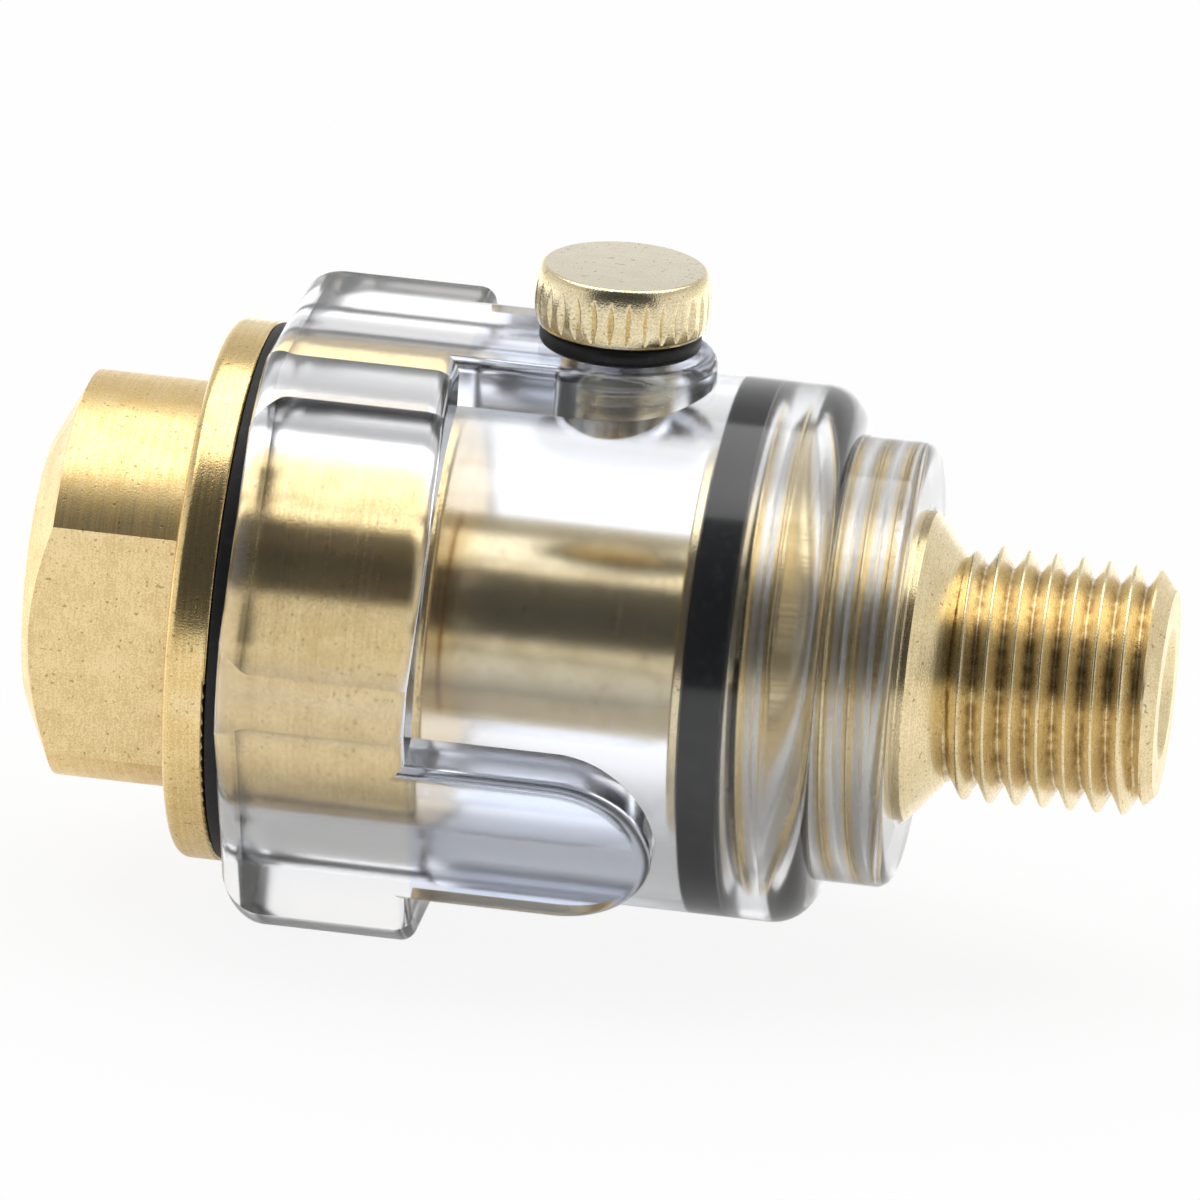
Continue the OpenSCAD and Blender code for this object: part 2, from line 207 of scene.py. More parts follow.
def ring(station, radius, around=AROUND):
    """One ring of points; the radius is a number, or a function of the angle."""
    return [on_axis(station, radius(a) if callable(radius) else radius, a) for a in angles(around)]


def skin(mesh, rings):
    """Faces between each ring and the next."""
    rows = [[mesh.verts.new(p) for p in points] for points in rings]
    for here, there in zip(rows, rows[1:]):
        for i in range(len(here)):
            mesh.faces.new((here[i - 1], here[i], there[i], there[i - 1]))


THREAD_FORM = [
    (0.0, 1.0), (0.029, 0.993), (0.055, 0.971), (0.074, 0.939),
    (0.426, 0.061), (0.445, 0.029), (0.471, 0.007), (0.5, 0.0),
    (0.529, 0.007), (0.555, 0.029), (0.574, 0.061),
    (0.926, 0.939), (0.945, 0.971), (0.971, 0.993),
]


def thread_height(phase):
    """Height of a thread's form from 0 at the root to 1 at the crest, one pitch long."""
    points = THREAD_FORM + [(1.0, 1.0)]
    for (p0, h0), (p1, h1) in zip(points, points[1:]):
        if p0 <= phase <= p1:
            return h0 + (h1 - h0) * (phase - p0) / (p1 - p0)
    return 1.0


def thread_radius(station, angle, start, pitch, crest, root):
    """Radius of a right-hand thread; crest and root are functions of the station."""
    phase = ((station - start) / pitch - angle / (2 * math.pi)) % 1.0
    low = root(station)
    return low + (crest(station) - low) * thread_height(phase)


def wind_thread(mesh, start, end, pitch, crest, root, around=AROUND):
    """Winds a thread's faces from one station to another, in rows that follow the helix."""
    form_rows = len(THREAD_FORM)
    turns = math.ceil((end - start) / pitch) + 2
    rows = []
    for row_number in range(turns * form_rows + 1):
        turn, form_row = divmod(row_number, form_rows)
        row = []
        for i, angle in enumerate(angles(around)):
            station = start + pitch * (turn - 1 + THREAD_FORM[form_row][0] + i / around)
            station = min(max(station, start), end)
            radius = thread_radius(station, angle, start, pitch, crest, root)
            row.append(mesh.verts.new(on_axis(station, radius, angle)))
        rows.append(row)
    for k in range(len(rows) - 1 - form_rows):
        for i in range(around - 1):
            mesh.faces.new((rows[k][i], rows[k][i + 1], rows[k + 1][i + 1], rows[k + 1][i]))
        ahead = k + form_rows
        mesh.faces.new((rows[k][-1], rows[ahead][0], rows[ahead + 1][0], rows[k + 1][-1]))


def finished_piece(name, mesh, sharp_degrees):
    """An object from a mesh in the making: welded, facing outwards, with sharp edges above an angle."""
    bmesh.ops.remove_doubles(mesh, verts=mesh.verts[:], dist=0.0008 * mm)
    bmesh.ops.dissolve_degenerate(mesh, edges=mesh.edges[:], dist=0.0004 * mm)
    bmesh.ops.recalc_face_normals(mesh, faces=mesh.faces[:])
    data = bpy.data.meshes.new(name)
    mesh.to_mesh(data)
    mesh.free()
    data.shade_smooth()
    data.set_sharp_from_angle(angle=math.radians(sharp_degrees))
    piece = bpy.data.objects.new(name, data)
    bpy.context.scene.collection.objects.link(piece)
    return piece


def inlet_thread_crest(station):
    """The female thread's crest, which runs out to nothing at both ends."""
    room = min(station - INLET_THREAD_START, INLET_THREAD_END - station)
    return INLET_THREAD_ROOT + (INLET_THREAD_CREST - INLET_THREAD_ROOT) * min(1.0, room / PIPE_PITCH)


def inlet_thread_root(station):
    return INLET_THREAD_ROOT


flat_direction = (0.0, math.cos(FLATS_TURN), math.sin(FLATS_TURN))
mill_marks = (flat_direction, (0.0, 0.9, 0.0), (1.0, 1.0, 0.06), 0.1)
bar_skin = (INLET_END, FLANGE_START, 0.12)
inlet_brass = turned_brass(
    "inlet_brass", BRASS_LIGHT, BRASS_DEEP, BRASS_PIT_AND_SHADE, marks=mill_marks, bands=[bar_skin],
)
dress(cad_nodes["inlet_body"], inlet_brass)
shape = bmesh.new()
wind_thread(shape, INLET_THREAD_START, INLET_THREAD_END, PIPE_PITCH, inlet_thread_crest, inlet_thread_root)
sleeve = INLET_THREAD_ROOT + INLET_SLEEVE
skin(shape, [
    ring(INLET_THREAD_START, INLET_THREAD_ROOT),
    ring(INLET_THREAD_START, sleeve),
    ring(INLET_THREAD_END, sleeve),
    ring(INLET_THREAD_END, INLET_THREAD_ROOT),
])
inlet_thread = dress(finished_piece("inlet_thread", shape, 35), inlet_brass)
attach(inlet_thread, "housing")

# Metering screw, its seal and the wick: a hollow slotted brass screw with a rubber ring in its groove,
# and a plug of pressed felt in the oil port. They are pushed and screwed into the stem's left end.
FELT_LIGHT = (0.86, 0.83, 0.74, 1)
FELT_DEEP = (0.66, 0.61, 0.50, 1)
RUBBER_BLACK = (0.008, 0.008, 0.009, 1)
RUBBER_DUST = (0.022, 0.023, 0.025, 1)


def satin_rubber(name):
    """Moulded black rubber with a fine grain and a trace of dust."""
    material, tree, shader = empty_material(name)
    place = add_node(tree, "ShaderNodeTexCoord").outputs["Object"]
    grain = noise(tree, place, 9000.0, 2.0)
    dust = between(tree, noise(tree, place, 1500.0, 3.0), 0.52, 0.75)
    tree.links.new(tint(tree, dust, RUBBER_BLACK, RUBBER_DUST), shader.inputs["Base Color"])
    tree.links.new(between(tree, grain, 0.2, 0.8, 0.42, 0.56), shader.inputs["Roughness"])
    shader.inputs["Specular IOR Level"].default_value = 0.35
    bump_inputs = {"Strength": 0.3, "Distance": 0.002 * mm, "Height": grain}
    tree.links.new(add_node(tree, "ShaderNodeBump", bump_inputs).outputs[0], shader.inputs["Normal"])
    return material


def pressed_felt(name):
    """Wool felt: soft matted fibres, with painted shade in the hollows between them."""
    material, tree, shader = empty_material(name)
    place = add_node(tree, "ShaderNodeTexCoord").outputs["Object"]
    fibres = noise(tree, place, 11000.0, 4.0, 0.7)
    # Painted shade: the felt takes its deep tone where the bump's height is lowest.
    tree.links.new(tint(tree, fibres, FELT_DEEP, FELT_LIGHT), shader.inputs["Base Color"])
    shader.inputs["Roughness"].default_value = 0.95
    shader.inputs["Sheen Weight"].default_value = 0.4
    bump_inputs = {"Strength": 0.9, "Distance": 0.03 * mm, "Height": fibres}
    tree.links.new(add_node(tree, "ShaderNodeBump", bump_inputs).outputs[0], shader.inputs["Normal"])
    return material


ring_rubber = satin_rubber("ring_rubber")
dress(cad_nodes["metering_screw"], turned_brass("metering_brass", BRASS_LIGHT, BRASS_DEEP, BRASS_PIT_AND_SHADE))
dress(cad_nodes["metering_seal"], ring_rubber)
dress(cad_nodes["oil_wick"], pressed_felt("wick_felt"))

# Stem: one piece turned from brass bar. From the left it has the end that screws into the spigot, the
# plain tube through the oil, the thin collar, the thread that holds the bowl's neck, a cone and the
# male pipe thread of the outlet. A bore runs right through it, wider at the left for the metering screw.
STEM_END = -33.9
SPIGOT_END = -26.38
TUBE_R = 5.45
COLLAR_START = -13.5
COLLAR_END = -12.93
COLLAR_R = 10.2
NECK_THREAD_START = -10.8
NECK_THREAD_END = -2.5
NECK_THREAD_R = 8.15
NECK_THREAD_DEPTH = 0.85
CONE_START = -1.8
CONE_FOOT = 0.1
CONE_FOOT_R = 5.95
OUTLET_END = 11.1
OUTLET_CHAMFER = 1.05
OUTLET_FACE_R = 5.4
OUTLET_THREAD_R = 6.79
OUTLET_TAPER = 0.0254
OUTLET_THREAD_DEPTH = 1.05
RUN_OUT_R = 6.15
RUN_OUT_RISE = 0.5
AIR_BORE_R = 2.6
METER_BORE_R = 3.5
METER_BORE_END = -21.8
PORT_STATION = -23.4
PORT_R = 0.8
END_THREAD_PITCH = 1.0
END_THREAD_R = 5.0
END_THREAD_DEPTH = 0.5
END_THREAD_STOP = -27.0
END_CHAMFER = 0.3
BORE_MOUTH = 0.2
OUTLET_SINK = 0.9
STEM_LIGHT = (0.91, 0.775, 0.485, 1)
STEM_DEEP = (0.77, 0.615, 0.35, 1)


def outlet_line(station):
    """The taper that the outlet thread's crests touch."""
    return OUTLET_THREAD_R - OUTLET_TAPER * station


def outlet_crest(station):
    """Crest of the outlet thread, with its run-out towards the cone."""
    return min(outlet_line(station), RUN_OUT_R + RUN_OUT_RISE * station)


def outlet_root(station):
    return outlet_line(station) - OUTLET_THREAD_DEPTH


def neck_crest(station):
    return NECK_THREAD_R


def neck_root(station):
    room = min(station - NECK_THREAD_START, NECK_THREAD_END - station)
    return NECK_THREAD_R - NECK_THREAD_DEPTH * min(1.0, room / (0.5 * PIPE_PITCH))


def end_thread_crest(station):
    return END_THREAD_R


def end_thread_root(station):
    room = min(station - STEM_END - END_CHAMFER, END_THREAD_STOP - station)
    return END_THREAD_R - END_THREAD_DEPTH * min(1.0, max(0.0, room) / 0.4)


shape = bmesh.new()
skin(shape, [
    ring(STEM_END + BORE_MOUTH, METER_BORE_R),
    ring(STEM_END, METER_BORE_R + BORE_MOUTH),
    ring(STEM_END, END_THREAD_R - END_CHAMFER),
    ring(STEM_END + END_CHAMFER, END_THREAD_R),
])
wind_thread(
    shape, STEM_END + END_CHAMFER, END_THREAD_STOP, END_THREAD_PITCH, end_thread_crest, end_thread_root,
)
skin(shape, [
    ring(END_THREAD_STOP, END_THREAD_R),
    ring(SPIGOT_END, END_THREAD_R),
    ring(SPIGOT_END, TUBE_R - 0.1),
    ring(SPIGOT_END + 0.1, TUBE_R),
    ring(SPIGOT_END + 0.4, TUBE_R),
    ring(COLLAR_START - 0.5, TUBE_R),
    ring(COLLAR_START - 0.2, TUBE_R),
    ring(COLLAR_START - 0.06, TUBE_R + 0.06),
    ring(COLLAR_START, TUBE_R + 0.2),
    ring(COLLAR_START, COLLAR_R - 0.1),
    ring(COLLAR_START + 0.1, COLLAR_R),
    ring(COLLAR_END - 0.1, COLLAR_R),
    ring(COLLAR_END, COLLAR_R - 0.1),
    ring(COLLAR_END, NECK_THREAD_R),
    ring(NECK_THREAD_START, NECK_THREAD_R),
])
wind_thread(shape, NECK_THREAD_START, NECK_THREAD_END, PIPE_PITCH, neck_crest, neck_root)
skin(shape, [
    ring(NECK_THREAD_END, NECK_THREAD_R),
    ring(CONE_START, NECK_THREAD_R),
    ring(CONE_FOOT, CONE_FOOT_R),
    ring(CONE_FOOT, lambda a: thread_radius(CONE_FOOT, a, CONE_FOOT, PIPE_PITCH, outlet_crest, outlet_root)),
])
THREAD_STOP = OUTLET_END - OUTLET_CHAMFER
wind_thread(shape, CONE_FOOT, THREAD_STOP, PIPE_PITCH, outlet_crest, outlet_root)


def thread_stop_radius(angle):
    return thread_radius(THREAD_STOP, angle, CONE_FOOT, PIPE_PITCH, outlet_crest, outlet_root)


def chamfered(share):
    """A ring of the end chamfer, where it cuts what is left of the last thread."""
    cone = outlet_line(THREAD_STOP) + (OUTLET_FACE_R - outlet_line(THREAD_STOP)) * share
    station = THREAD_STOP + OUTLET_CHAMFER * share

    def radius(angle):
        return min(cone, thread_radius(station, angle, CONE_FOOT, PIPE_PITCH, outlet_crest, outlet_root))
    return ring(station, radius)


skin(shape, [
    ring(THREAD_STOP, thread_stop_radius),
    *[chamfered(share / 8) for share in range(1, 9)],
    ring(OUTLET_END, AIR_BORE_R + OUTLET_SINK),
    ring(OUTLET_END - OUTLET_SINK, AIR_BORE_R),
    ring(METER_BORE_END, AIR_BORE_R),
    ring(METER_BORE_END, METER_BORE_R),
    ring(STEM_END + BORE_MOUTH, METER_BORE_R),
])
stem = finished_piece("stem_turned", shape, 35)
drill_shape = bmesh.new()
drill_place = Matrix.Translation((PORT_STATION * mm, 0, -TUBE_R * mm))
bmesh.ops.create_cone(
    drill_shape, cap_ends=True, segments=32, radius1=PORT_R * mm, radius2=PORT_R * mm,
    depth=2 * (TUBE_R - METER_BORE_R + 0.5) * mm, matrix=drill_place,
)
drill = finished_piece("port_drill", drill_shape, 35)
port = stem.modifiers.new("port", "BOOLEAN")
port.object = drill
port.operation = "DIFFERENCE"
port.solver = "EXACT"
drilled = bpy.data.meshes.new_from_object(stem.evaluated_get(bpy.context.evaluated_depsgraph_get()))
stem.modifiers.clear()
stem.data = drilled
bpy.data.objects.remove(drill)
torn_flanks = (CONE_FOOT, THREAD_STOP, 0.06)
cut_end = (THREAD_STOP, OUTLET_END + 0.1, 0.2)
# The outlet thread's roots get painted shade from these numbers.
thread_roots = (OUTLET_THREAD_R, OUTLET_TAPER, OUTLET_THREAD_DEPTH, CONE_FOOT, THREAD_STOP)
stem_bands = [torn_flanks, cut_end]
stem_brass = turned_brass(
    "stem_brass", STEM_LIGHT, STEM_DEEP, BRASS_PIT_AND_SHADE, bands=stem_bands, grooves=thread_roots,
)
dress(stem, stem_brass)
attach(stem, "housing")
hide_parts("stem")

# Seals: the outlet seal is a rubber ring that the collar squeezes into the end of the oil chamber, and
# the inlet seal is a flat ring between the flange and the bowl. Both are pressed flat against the plastic,
# so that no air is left between and the black shows at the bowl's full width.
OUTLET_SEAL_BAND = (-12.9, -10.78)
OUTLET_SEAL_R = (8.17, 10.63)
INLET_SEAL_BAND = (-37.39, -36.38)
INLET_SEAL_R = (10.53, 14.25)
SEAL_EDGE = 0.12


def squeezed_ring(name, band, radii):
    """A seal's ring with small round edges."""
    made = bmesh.new()
    points = []
    corners = (
        (band[1], radii[1], -1, -1, 0), (band[0], radii[1], 1, -1, 90),
        (band[0], radii[0], 1, 1, 180), (band[1], radii[0], -1, 1, 270),
    )
    for station, radius, in_x, in_r, turn in corners:
        for step in range(5):
            angle = math.radians(turn + 90 * step / 4)
            x = station + in_x * SEAL_EDGE + SEAL_EDGE * math.cos(angle)
            r = radius + in_r * SEAL_EDGE + SEAL_EDGE * math.sin(angle)
            points.append((x, r))
    skin(made, [ring(x, r) for x, r in points + points[:1]])
    return finished_piece(name, made, 30)


outlet_seal = dress(squeezed_ring("outlet_seal_pressed", OUTLET_SEAL_BAND, OUTLET_SEAL_R), ring_rubber)
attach(outlet_seal, "housing")
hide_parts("outlet_seal")
inlet_seal = dress(squeezed_ring("inlet_seal_pressed", INLET_SEAL_BAND, INLET_SEAL_R), ring_rubber)
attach(inlet_seal, "housing")
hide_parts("inlet_seal")

# Bowl: one moulding in clear plastic with a flatted skirt, three ribs with round ends, a barrel and a neck.
# The polished mould gives it gloss, with faint waves where the plastic shrank and a few hairline scratches.
# The neck's and the fill hole's threads are cut afterwards, so their surfaces are frosted.
PLASTIC_INDEX = 1.58
PLASTIC_THIN = (0.955, 0.965, 0.985, 1)
PLASTIC_THICK = (0.72, 0.79, 0.98, 1)
BARREL_R = 14.2
SKIRT_END = -26.5
NECK_BORE_R = 8.2
FILL_STATION = -18.9
FILL_BORE_R = 3.05
NECK_TAP_ROOT = 8.05
NECK_TAP_CREST = 7.45
NECK_FROST = 0.25
FILL_FROST = 0.10


def clear_plastic(name):
    """Clear moulded plastic with a faint cold tint in its ribs, frosted where a thread is cut."""
    material, tree, shader = empty_material(name)
    place = add_node(tree, "ShaderNodeTexCoord").outputs["Object"]
    split = add_node(tree, "ShaderNodeSeparateXYZ", {0: place}).outputs
    square_y = maths(tree, "POWER", split[1], 2.0)
    from_axis = maths(tree, "SQRT", maths(tree, "ADD", square_y, maths(tree, "POWER", split[2], 2.0)))
    fill_off = maths(tree, "SUBTRACT", split[0], FILL_STATION * mm)
    from_fill = maths(tree, "SQRT", maths(tree, "ADD", square_y, maths(tree, "POWER", fill_off, 2.0)))
    in_neck = maths(tree, "LESS_THAN", from_axis, (NECK_BORE_R + 0.02) * mm)
    in_fill = maths(tree, "LESS_THAN", from_fill, (FILL_BORE_R + 0.05) * mm)
    in_fill = maths(tree, "MULTIPLY", in_fill, maths(tree, "GREATER_THAN", split[2], 0.0))
    in_neck = maths(tree, "MULTIPLY", in_neck, NECK_FROST)
    in_fill = maths(tree, "MULTIPLY", in_fill, FILL_FROST)
    frosted = maths(tree, "MAXIMUM", in_neck, in_fill)
    waves = noise(tree, place, 160.0, 1.0)
    streak_inputs = {0: place, 2: (0.3, 0.5, 0.2), 3: (1.0, 0.04, 1.0)}
    streaks = add_node(tree, "ShaderNodeMapping", streak_inputs).outputs[0]
    scratches = between(tree, noise(tree, streaks, 5000.0, 1.0), 0.72, 0.78)
    on_rib = between(tree, from_axis, (BARREL_R + 0.1) * mm, (BARREL_R + 0.6) * mm)
    thick = maths(tree, "MULTIPLY", on_rib, maths(tree, "GREATER_THAN", split[0], (SKIRT_END + 0.1) * mm))
    tree.links.new(tint(tree, thick, PLASTIC_THIN, PLASTIC_THICK), shader.inputs["Base Color"])
    shader.inputs["Transmission Weight"].default_value = 1.0
    shader.inputs["IOR"].default_value = PLASTIC_INDEX
    dull = maths(tree, "ADD", maths(tree, "MULTIPLY", scratches, 0.05), 0.13)
    tree.links.new(maths(tree, "ADD", dull, frosted), shader.inputs["Roughness"])
    height = maths(tree, "SUBTRACT", waves, maths(tree, "MULTIPLY", scratches, 0.03))
    bump_inputs = {"Strength": 0.5, "Distance": 0.03 * mm, "Height": height}
    tree.links.new(add_node(tree, "ShaderNodeBump", bump_inputs).outputs[0], shader.inputs["Normal"])
    return material


def neck_bore_root(station):
    """The plastic's root, which the brass crests press into."""
    room = min(station - NECK_THREAD_START, NECK_THREAD_END - station)
    return NECK_BORE_R - (NECK_BORE_R - NECK_TAP_ROOT) * min(1.0, room / (0.5 * PIPE_PITCH))


def neck_bore_crest(station):
    """The plastic's crest, which stays clear of the brass roots."""
    room = min(station - NECK_THREAD_START, NECK_THREAD_END - station)
    return NECK_BORE_R - (NECK_BORE_R - NECK_TAP_CREST) * min(1.0, room / (0.5 * PIPE_PITCH))


def in_plain_bore(face):
    """Whether a face of the moulding lies on the neck's bore."""
    return all(abs(math.hypot(v.co.y, v.co.z) - NECK_BORE_R * mm) < 0.012 * mm for v in face.verts)


tapped = bmesh.new()
wind_thread(tapped, NECK_THREAD_START, NECK_THREAD_END, PIPE_PITCH, neck_bore_root, neck_bore_crest)
bmesh.ops.remove_doubles(tapped, verts=tapped.verts[:], dist=0.0008 * mm)
bmesh.ops.dissolve_degenerate(tapped, edges=tapped.edges[:], dist=0.0004 * mm)
bmesh.ops.reverse_faces(tapped, faces=tapped.faces[:])
thread_data = bpy.data.meshes.new("neck_thread")
tapped.to_mesh(thread_data)
tapped.free()
thread_data.shade_smooth()
thread_data.set_sharp_from_angle(angle=math.radians(35))
moulding = bmesh.new()
moulding.from_mesh(cad_nodes["reservoir"].data)
plain_bore = [face for face in moulding.faces if in_plain_bore(face)]
bmesh.ops.delete(moulding, geom=plain_bore, context="FACES")
moulding.from_mesh(thread_data)
bowl_data = bpy.data.meshes.new("bowl_moulding")
moulding.to_mesh(bowl_data)
moulding.free()
bowl = bpy.data.objects.new("bowl_moulding", bowl_data)
bpy.context.scene.collection.objects.link(bowl)
dress(bowl, clear_plastic("bowl_plastic"))
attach(bowl, "housing")
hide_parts("reservoir")

# Fill screw: turned from paler brass, with a straight knurl rolled round its knob and a thread on its shank.
# It screws down on its small rubber ring, over the fill hole in the round end of the upper rib.
KNOB_FOOT = 16.81
KNOB_TOP = 20.11
KNOB_R = 4.6
KNOB_EDGE_R = 4.1
KNOB_FULLEST = 18.25
KNURLS = 30
KNURL_DEPTH = 0.24
KNURL_HALF_WIDTH = 0.26
KNURL_REACH = 1.2
KNOB_AROUND = 480
SHANK_R = 3.0
SHANK_THREAD_DEPTH = 0.42
SHANK_PITCH = 0.8
SHANK_START = 11.41
SHANK_END = 16.6
SHANK_TIP = 10.91
PALE_LIGHT = (0.90, 0.80, 0.55, 1)
PALE_DEEP = (0.76, 0.62, 0.36, 1)
PALE_PIT = (0.42, 0.31, 0.16, 1)


def knob_side(height):
    """Radius of the knob's turned side, a barrel with round shoulders."""
    end = KNOB_TOP if height > KNOB_FULLEST else KNOB_FOOT
    share = min(1.0, abs((height - KNOB_FULLEST) / (end - KNOB_FULLEST)))
    return KNOB_EDGE_R + (KNOB_R - KNOB_EDGE_R) * (1 - share ** 2.4) ** (1 / 2.4)


def knurled(height):
    """A ring of the knob's side, cut by V-shaped grooves that run out to points above and below."""
    reach = max(0.0, 1 - ((height - KNOB_FULLEST) / KNURL_REACH) ** 2)

    def knurl_radius(angle):
        groove, step = divmod(angle * KNURLS / (2 * math.pi), 1.0)
        aside = abs(step - 0.5) * 2 * math.pi * KNOB_R / KNURLS
        depth = KNURL_DEPTH * reach * (1 + 0.2 * math.sin(7.3 * groove))
        return knob_side(height) - max(0.0, depth - KNURL_DEPTH * aside / KNURL_HALF_WIDTH)
    return ring(height, knurl_radius, KNOB_AROUND)


def shank_crest(height):
    return SHANK_R


def shank_root(height):
    room = min(height - SHANK_START, SHANK_END - height)
    return SHANK_R - SHANK_THREAD_DEPTH * min(1.0, room / (0.5 * SHANK_PITCH))


shape = bmesh.new()
skin(shape, [
    ring(SHANK_TIP, 0.02, KNOB_AROUND),
    ring(SHANK_TIP, SHANK_R - 0.5, KNOB_AROUND),
    ring(SHANK_START, SHANK_R, KNOB_AROUND),
])
wind_thread(shape, SHANK_START, SHANK_END, SHANK_PITCH, shank_crest, shank_root, KNOB_AROUND)
knob_rings = [ring(SHANK_END, SHANK_R, KNOB_AROUND), ring(KNOB_FOOT, SHANK_R, KNOB_AROUND)]
for step in range(49):
    spread = 0.5 - 0.5 * math.cos(math.pi * step / 48)
    knob_rings.append(knurled(KNOB_FOOT + (KNOB_TOP - KNOB_FOOT) * spread))
knob_rings.append(ring(KNOB_TOP, 0.02, KNOB_AROUND))
skin(shape, knob_rings)
for vertex in shape.verts:
    vertex.co = Vector((vertex.co.y + FILL_STATION * mm, vertex.co.z, vertex.co.x))
top_marks = ((0.0, 0.0, 1.0), (0.0, 0.0, 0.5), (0.05, 1.0, 1.0), 0.55)
knob_brass = turned_brass("knob_brass", PALE_LIGHT, PALE_DEEP, PALE_PIT, FILL_STATION, top_marks, grain=2.5)
knob = dress(finished_piece("fill_screw_turned", shape, 40), knob_brass)
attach(knob, "fill_screw")
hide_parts("fill_screw")
dress(cad_nodes["fill_screw_seal"], ring_rubber)

# Floor and studio: a white table under a large soft box, in a pale room that is dark only behind the camera.
# The table shows white to the eye and keeps a faint shadow. Brass and plastic mirror it a little darker, so
# that they keep their form, and brass mirrors a painted glow of light on the table's far side.
FLOOR_Z = cad_box[0][2] - 0.05 * mm
FLOOR_SIZE = 1.6
SHADOW_DEPTH = 0.09
SOFT_BOX_DISTANCE = 0.6
SOFT_BOX_MIDDLE = -18.7 * mm
SOFT_BOX_LEAN = math.radians(10)
CAMERA_AZIMUTH = math.radians(7.5)
front = Vector((math.sin(CAMERA_AZIMUTH), -math.cos(CAMERA_AZIMUTH), 0.0))

floor_data = bpy.data.meshes.new("table")
shape = bmesh.new()
bmesh.ops.create_grid(shape, x_segments=8, y_segments=8, size=FLOOR_SIZE)
shape.to_mesh(floor_data)
shape.free()
floor = bpy.data.objects.new("table", floor_data)
floor.location.z = FLOOR_Z
bpy.context.scene.collection.objects.link(floor)
table_top = bpy.data.materials.new("white_table")
table_top.use_nodes = True
tree = table_top.node_tree
tree.nodes.clear()
light_path = add_node(tree, "ShaderNodeLightPath").outputs
table_place = add_node(tree, "ShaderNodeTexCoord").outputs["Object"]
blotches = noise(tree, table_place, 6.0)
white = tint(tree, blotches, (0.60, 0.60, 0.60, 1), (0.64, 0.64, 0.64, 1))
lit = add_node(tree, "ShaderNodeBsdfDiffuse", {"Color": white}).outputs[0]
nearer = add_node(tree, "ShaderNodeVectorMath", {0: table_place, 1: front}, operation="DOT_PRODUCT")
# Painted light: brass sees the table glowing brighter on its far side than its lamps make it.
painted_far_glow = between(tree, nearer.outputs["Value"], -0.05, 0.02, 0.50, 0.0)
glow = maths(tree, "ADD", maths(tree, "MULTIPLY", painted_far_glow, light_path["Is Glossy Ray"]), 0.27)
mirrored = add_node(tree, "ShaderNodeEmission", {"Color": (1, 1, 1, 1), "Strength": glow}).outputs[0]
soft_shade = add_node(tree, "ShaderNodeBsdfDiffuse", {"Color": (0.70, 0.70, 0.70, 1)}).outputs[0]
mirrored = add_node(tree, "ShaderNodeAddShader", {0: mirrored, 1: soft_shade}).outputs[0]
shadow_oval = {0: table_place, 1: (0.374, 0.0, 0.0), 3: (20.0, 25.0, 0.0)}
off_centre = add_node(tree, "ShaderNodeMapping", shadow_oval).outputs[0]
away = add_node(tree, "ShaderNodeVectorMath", {0: off_centre}, operation="LENGTH").outputs["Value"]
near_part = between(tree, away, 0.75, 1.0, 1.0, 0.0)
seen_glow = maths(tree, "SUBTRACT", 0.99, maths(tree, "MULTIPLY", near_part, SHADOW_DEPTH))
seen = add_node(tree, "ShaderNodeEmission", {"Color": (1, 1, 1, 1), "Strength": seen_glow}).outputs[0]
shade_white = tint(tree, near_part, (0, 0, 0, 1), (SHADOW_DEPTH, SHADOW_DEPTH, SHADOW_DEPTH, 1))
shade = add_node(tree, "ShaderNodeBsdfDiffuse", {"Color": shade_white}).outputs[0]
seen = add_node(tree, "ShaderNodeAddShader", {0: seen, 1: shade}).outputs[0]
in_object = maths(tree, "MAXIMUM", light_path["Is Glossy Ray"], light_path["Is Transmission Ray"])
mixed = add_node(tree, "ShaderNodeMixShader", {0: in_object, 1: lit, 2: mirrored}).outputs[0]
mixed = add_node(tree, "ShaderNodeMixShader", {0: light_path["Is Camera Ray"], 1: mixed, 2: seen}).outputs[0]
tree.links.new(mixed, add_node(tree, "ShaderNodeOutputMaterial").inputs["Surface"])
floor_data.materials.append(table_top)

soft_box_data = bpy.data.lights.new("soft_box", "AREA")
soft_box_data.shape = "RECTANGLE"
soft_box_data.size = 1.0
soft_box_data.size_y = 0.585
soft_box_data.energy = 3.45
soft_box = bpy.data.objects.new("soft_box", soft_box_data)
overhead = Vector((0, 0, math.cos(SOFT_BOX_LEAN))) - front * math.sin(SOFT_BOX_LEAN)
side = Vector((math.cos(CAMERA_AZIMUTH), math.sin(CAMERA_AZIMUTH), 0.0))
depth_way = overhead.cross(side)
soft_box.matrix_world = Matrix((
    (side.x, depth_way.x, overhead.x, overhead.x * SOFT_BOX_DISTANCE + SOFT_BOX_MIDDLE),
    (side.y, depth_way.y, overhead.y, overhead.y * SOFT_BOX_DISTANCE),
    (side.z, depth_way.z, overhead.z, overhead.z * SOFT_BOX_DISTANCE),
    (0, 0, 0, 1),
))
soft_box.visible_camera = False
bpy.context.scene.collection.objects.link(soft_box)

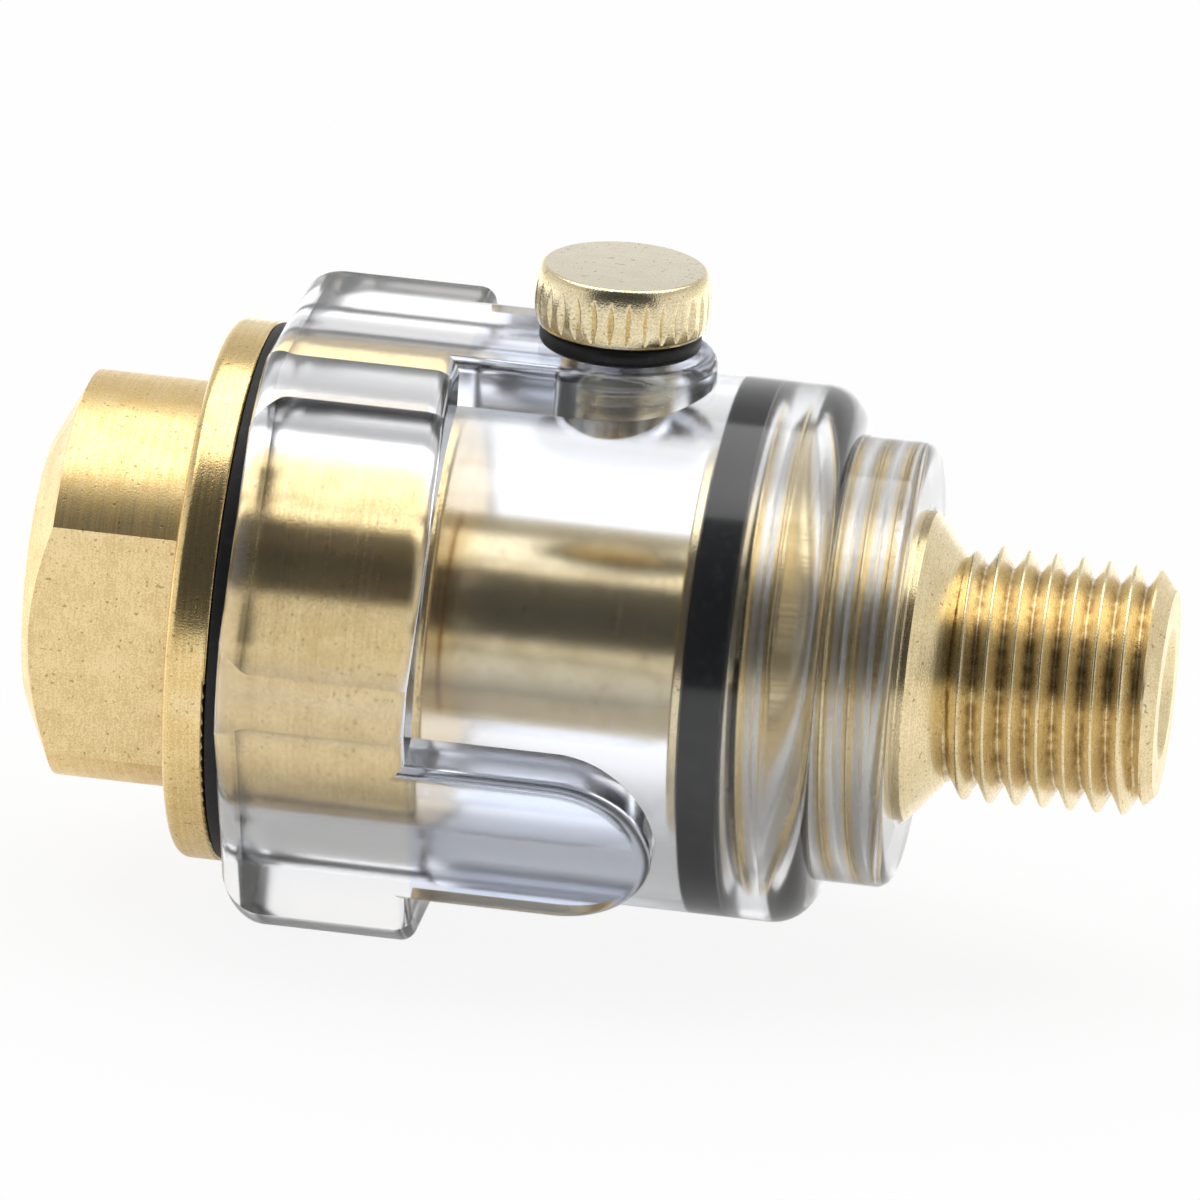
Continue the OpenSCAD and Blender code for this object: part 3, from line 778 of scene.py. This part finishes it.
room = bpy.data.worlds.new("pale_room")
room.use_nodes = True
room.cycles.sampling_method = "NONE"
bpy.context.scene.world = room
tree = room.node_tree
tree.nodes.clear()
way = add_node(tree, "ShaderNodeTexCoord").outputs["Generated"]
height = add_node(tree, "ShaderNodeSeparateXYZ", {0: way}).outputs[2]
towards = add_node(tree, "ShaderNodeVectorMath", {0: way, 1: front}, operation="DOT_PRODUCT").outputs["Value"]
level = maths(tree, "SQRT", maths(tree, "SUBTRACT", 1.0001, maths(tree, "POWER", height, 2.0)))
bearing = maths(tree, "DIVIDE", towards, level)
above_table = between(tree, height, -0.12, -0.02)
behind_camera = maths(tree, "MULTIPLY", between(tree, bearing, 0.60, 0.78), above_table)
wall = tint(tree, between(tree, height, 0.05, 0.85), (0.92, 0.92, 0.92, 1), (0.45, 0.45, 0.45, 1))
wall = tint(tree, behind_camera, wall, (0.055, 0.058, 0.066, 1))
light_path = add_node(tree, "ShaderNodeLightPath").outputs
bounced = maths(tree, "ADD", light_path["Glossy Depth"], light_path["Diffuse Depth"])
straight = maths(tree, "LESS_THAN", bounced, 0.5)
through = maths(tree, "MULTIPLY", light_path["Is Transmission Ray"], straight)
to_eye = maths(tree, "MAXIMUM", light_path["Is Camera Ray"], through)
backdrop = tint(tree, to_eye, wall, (1, 1, 1, 1))
background = add_node(tree, "ShaderNodeBackground", {"Color": backdrop, "Strength": 1.0}).outputs[0]
tree.links.new(background, add_node(tree, "ShaderNodeOutputWorld").inputs["Surface"])

# Camera: a long lens, a little to the right of square on and above the axis, tilted as the photograph is.
# Light is followed far enough to pass both walls of the bowl twice.
CAMERA_ELEVATION = math.radians(19.0)
CAMERA_ROLL = math.radians(3.95)
CAMERA_DISTANCE = 0.770
CAMERA_LENS = 440.06
IMAGE_CENTRE = (-18.7 * mm, -0.21 * mm, 1.60 * mm)

back = front * math.cos(CAMERA_ELEVATION) + Vector((0, 0, math.sin(CAMERA_ELEVATION)))
up = back.cross(side)
camera_x = side * math.cos(CAMERA_ROLL) + up * math.sin(CAMERA_ROLL)
camera_y = up * math.cos(CAMERA_ROLL) - side * math.sin(CAMERA_ROLL)
aim = Vector((IMAGE_CENTRE[0], 0, 0)) + camera_x * IMAGE_CENTRE[1] + camera_y * IMAGE_CENTRE[2]
stand = aim + back * CAMERA_DISTANCE
camera_data = bpy.data.cameras.new("camera")
camera_data.lens = CAMERA_LENS
camera_data.sensor_width = 36.0
camera_data.clip_start = 0.01
camera_data.clip_end = 100.0
camera = bpy.data.objects.new("camera", camera_data)
camera.matrix_world = Matrix((
    (camera_x.x, camera_y.x, back.x, stand.x),
    (camera_x.y, camera_y.y, back.y, stand.y),
    (camera_x.z, camera_y.z, back.z, stand.z),
    (0, 0, 0, 1),
))
bpy.context.scene.collection.objects.link(camera)
scene = bpy.context.scene
scene.camera = camera
scene.view_settings.view_transform = "Standard"
scene.cycles.max_bounces = 11
scene.cycles.transmission_bounces = 11
scene.cycles.glossy_bounces = 4
scene.cycles.diffuse_bounces = 1
scene.cycles.debug_use_spatial_splits = True
scene.cycles.use_light_tree = False
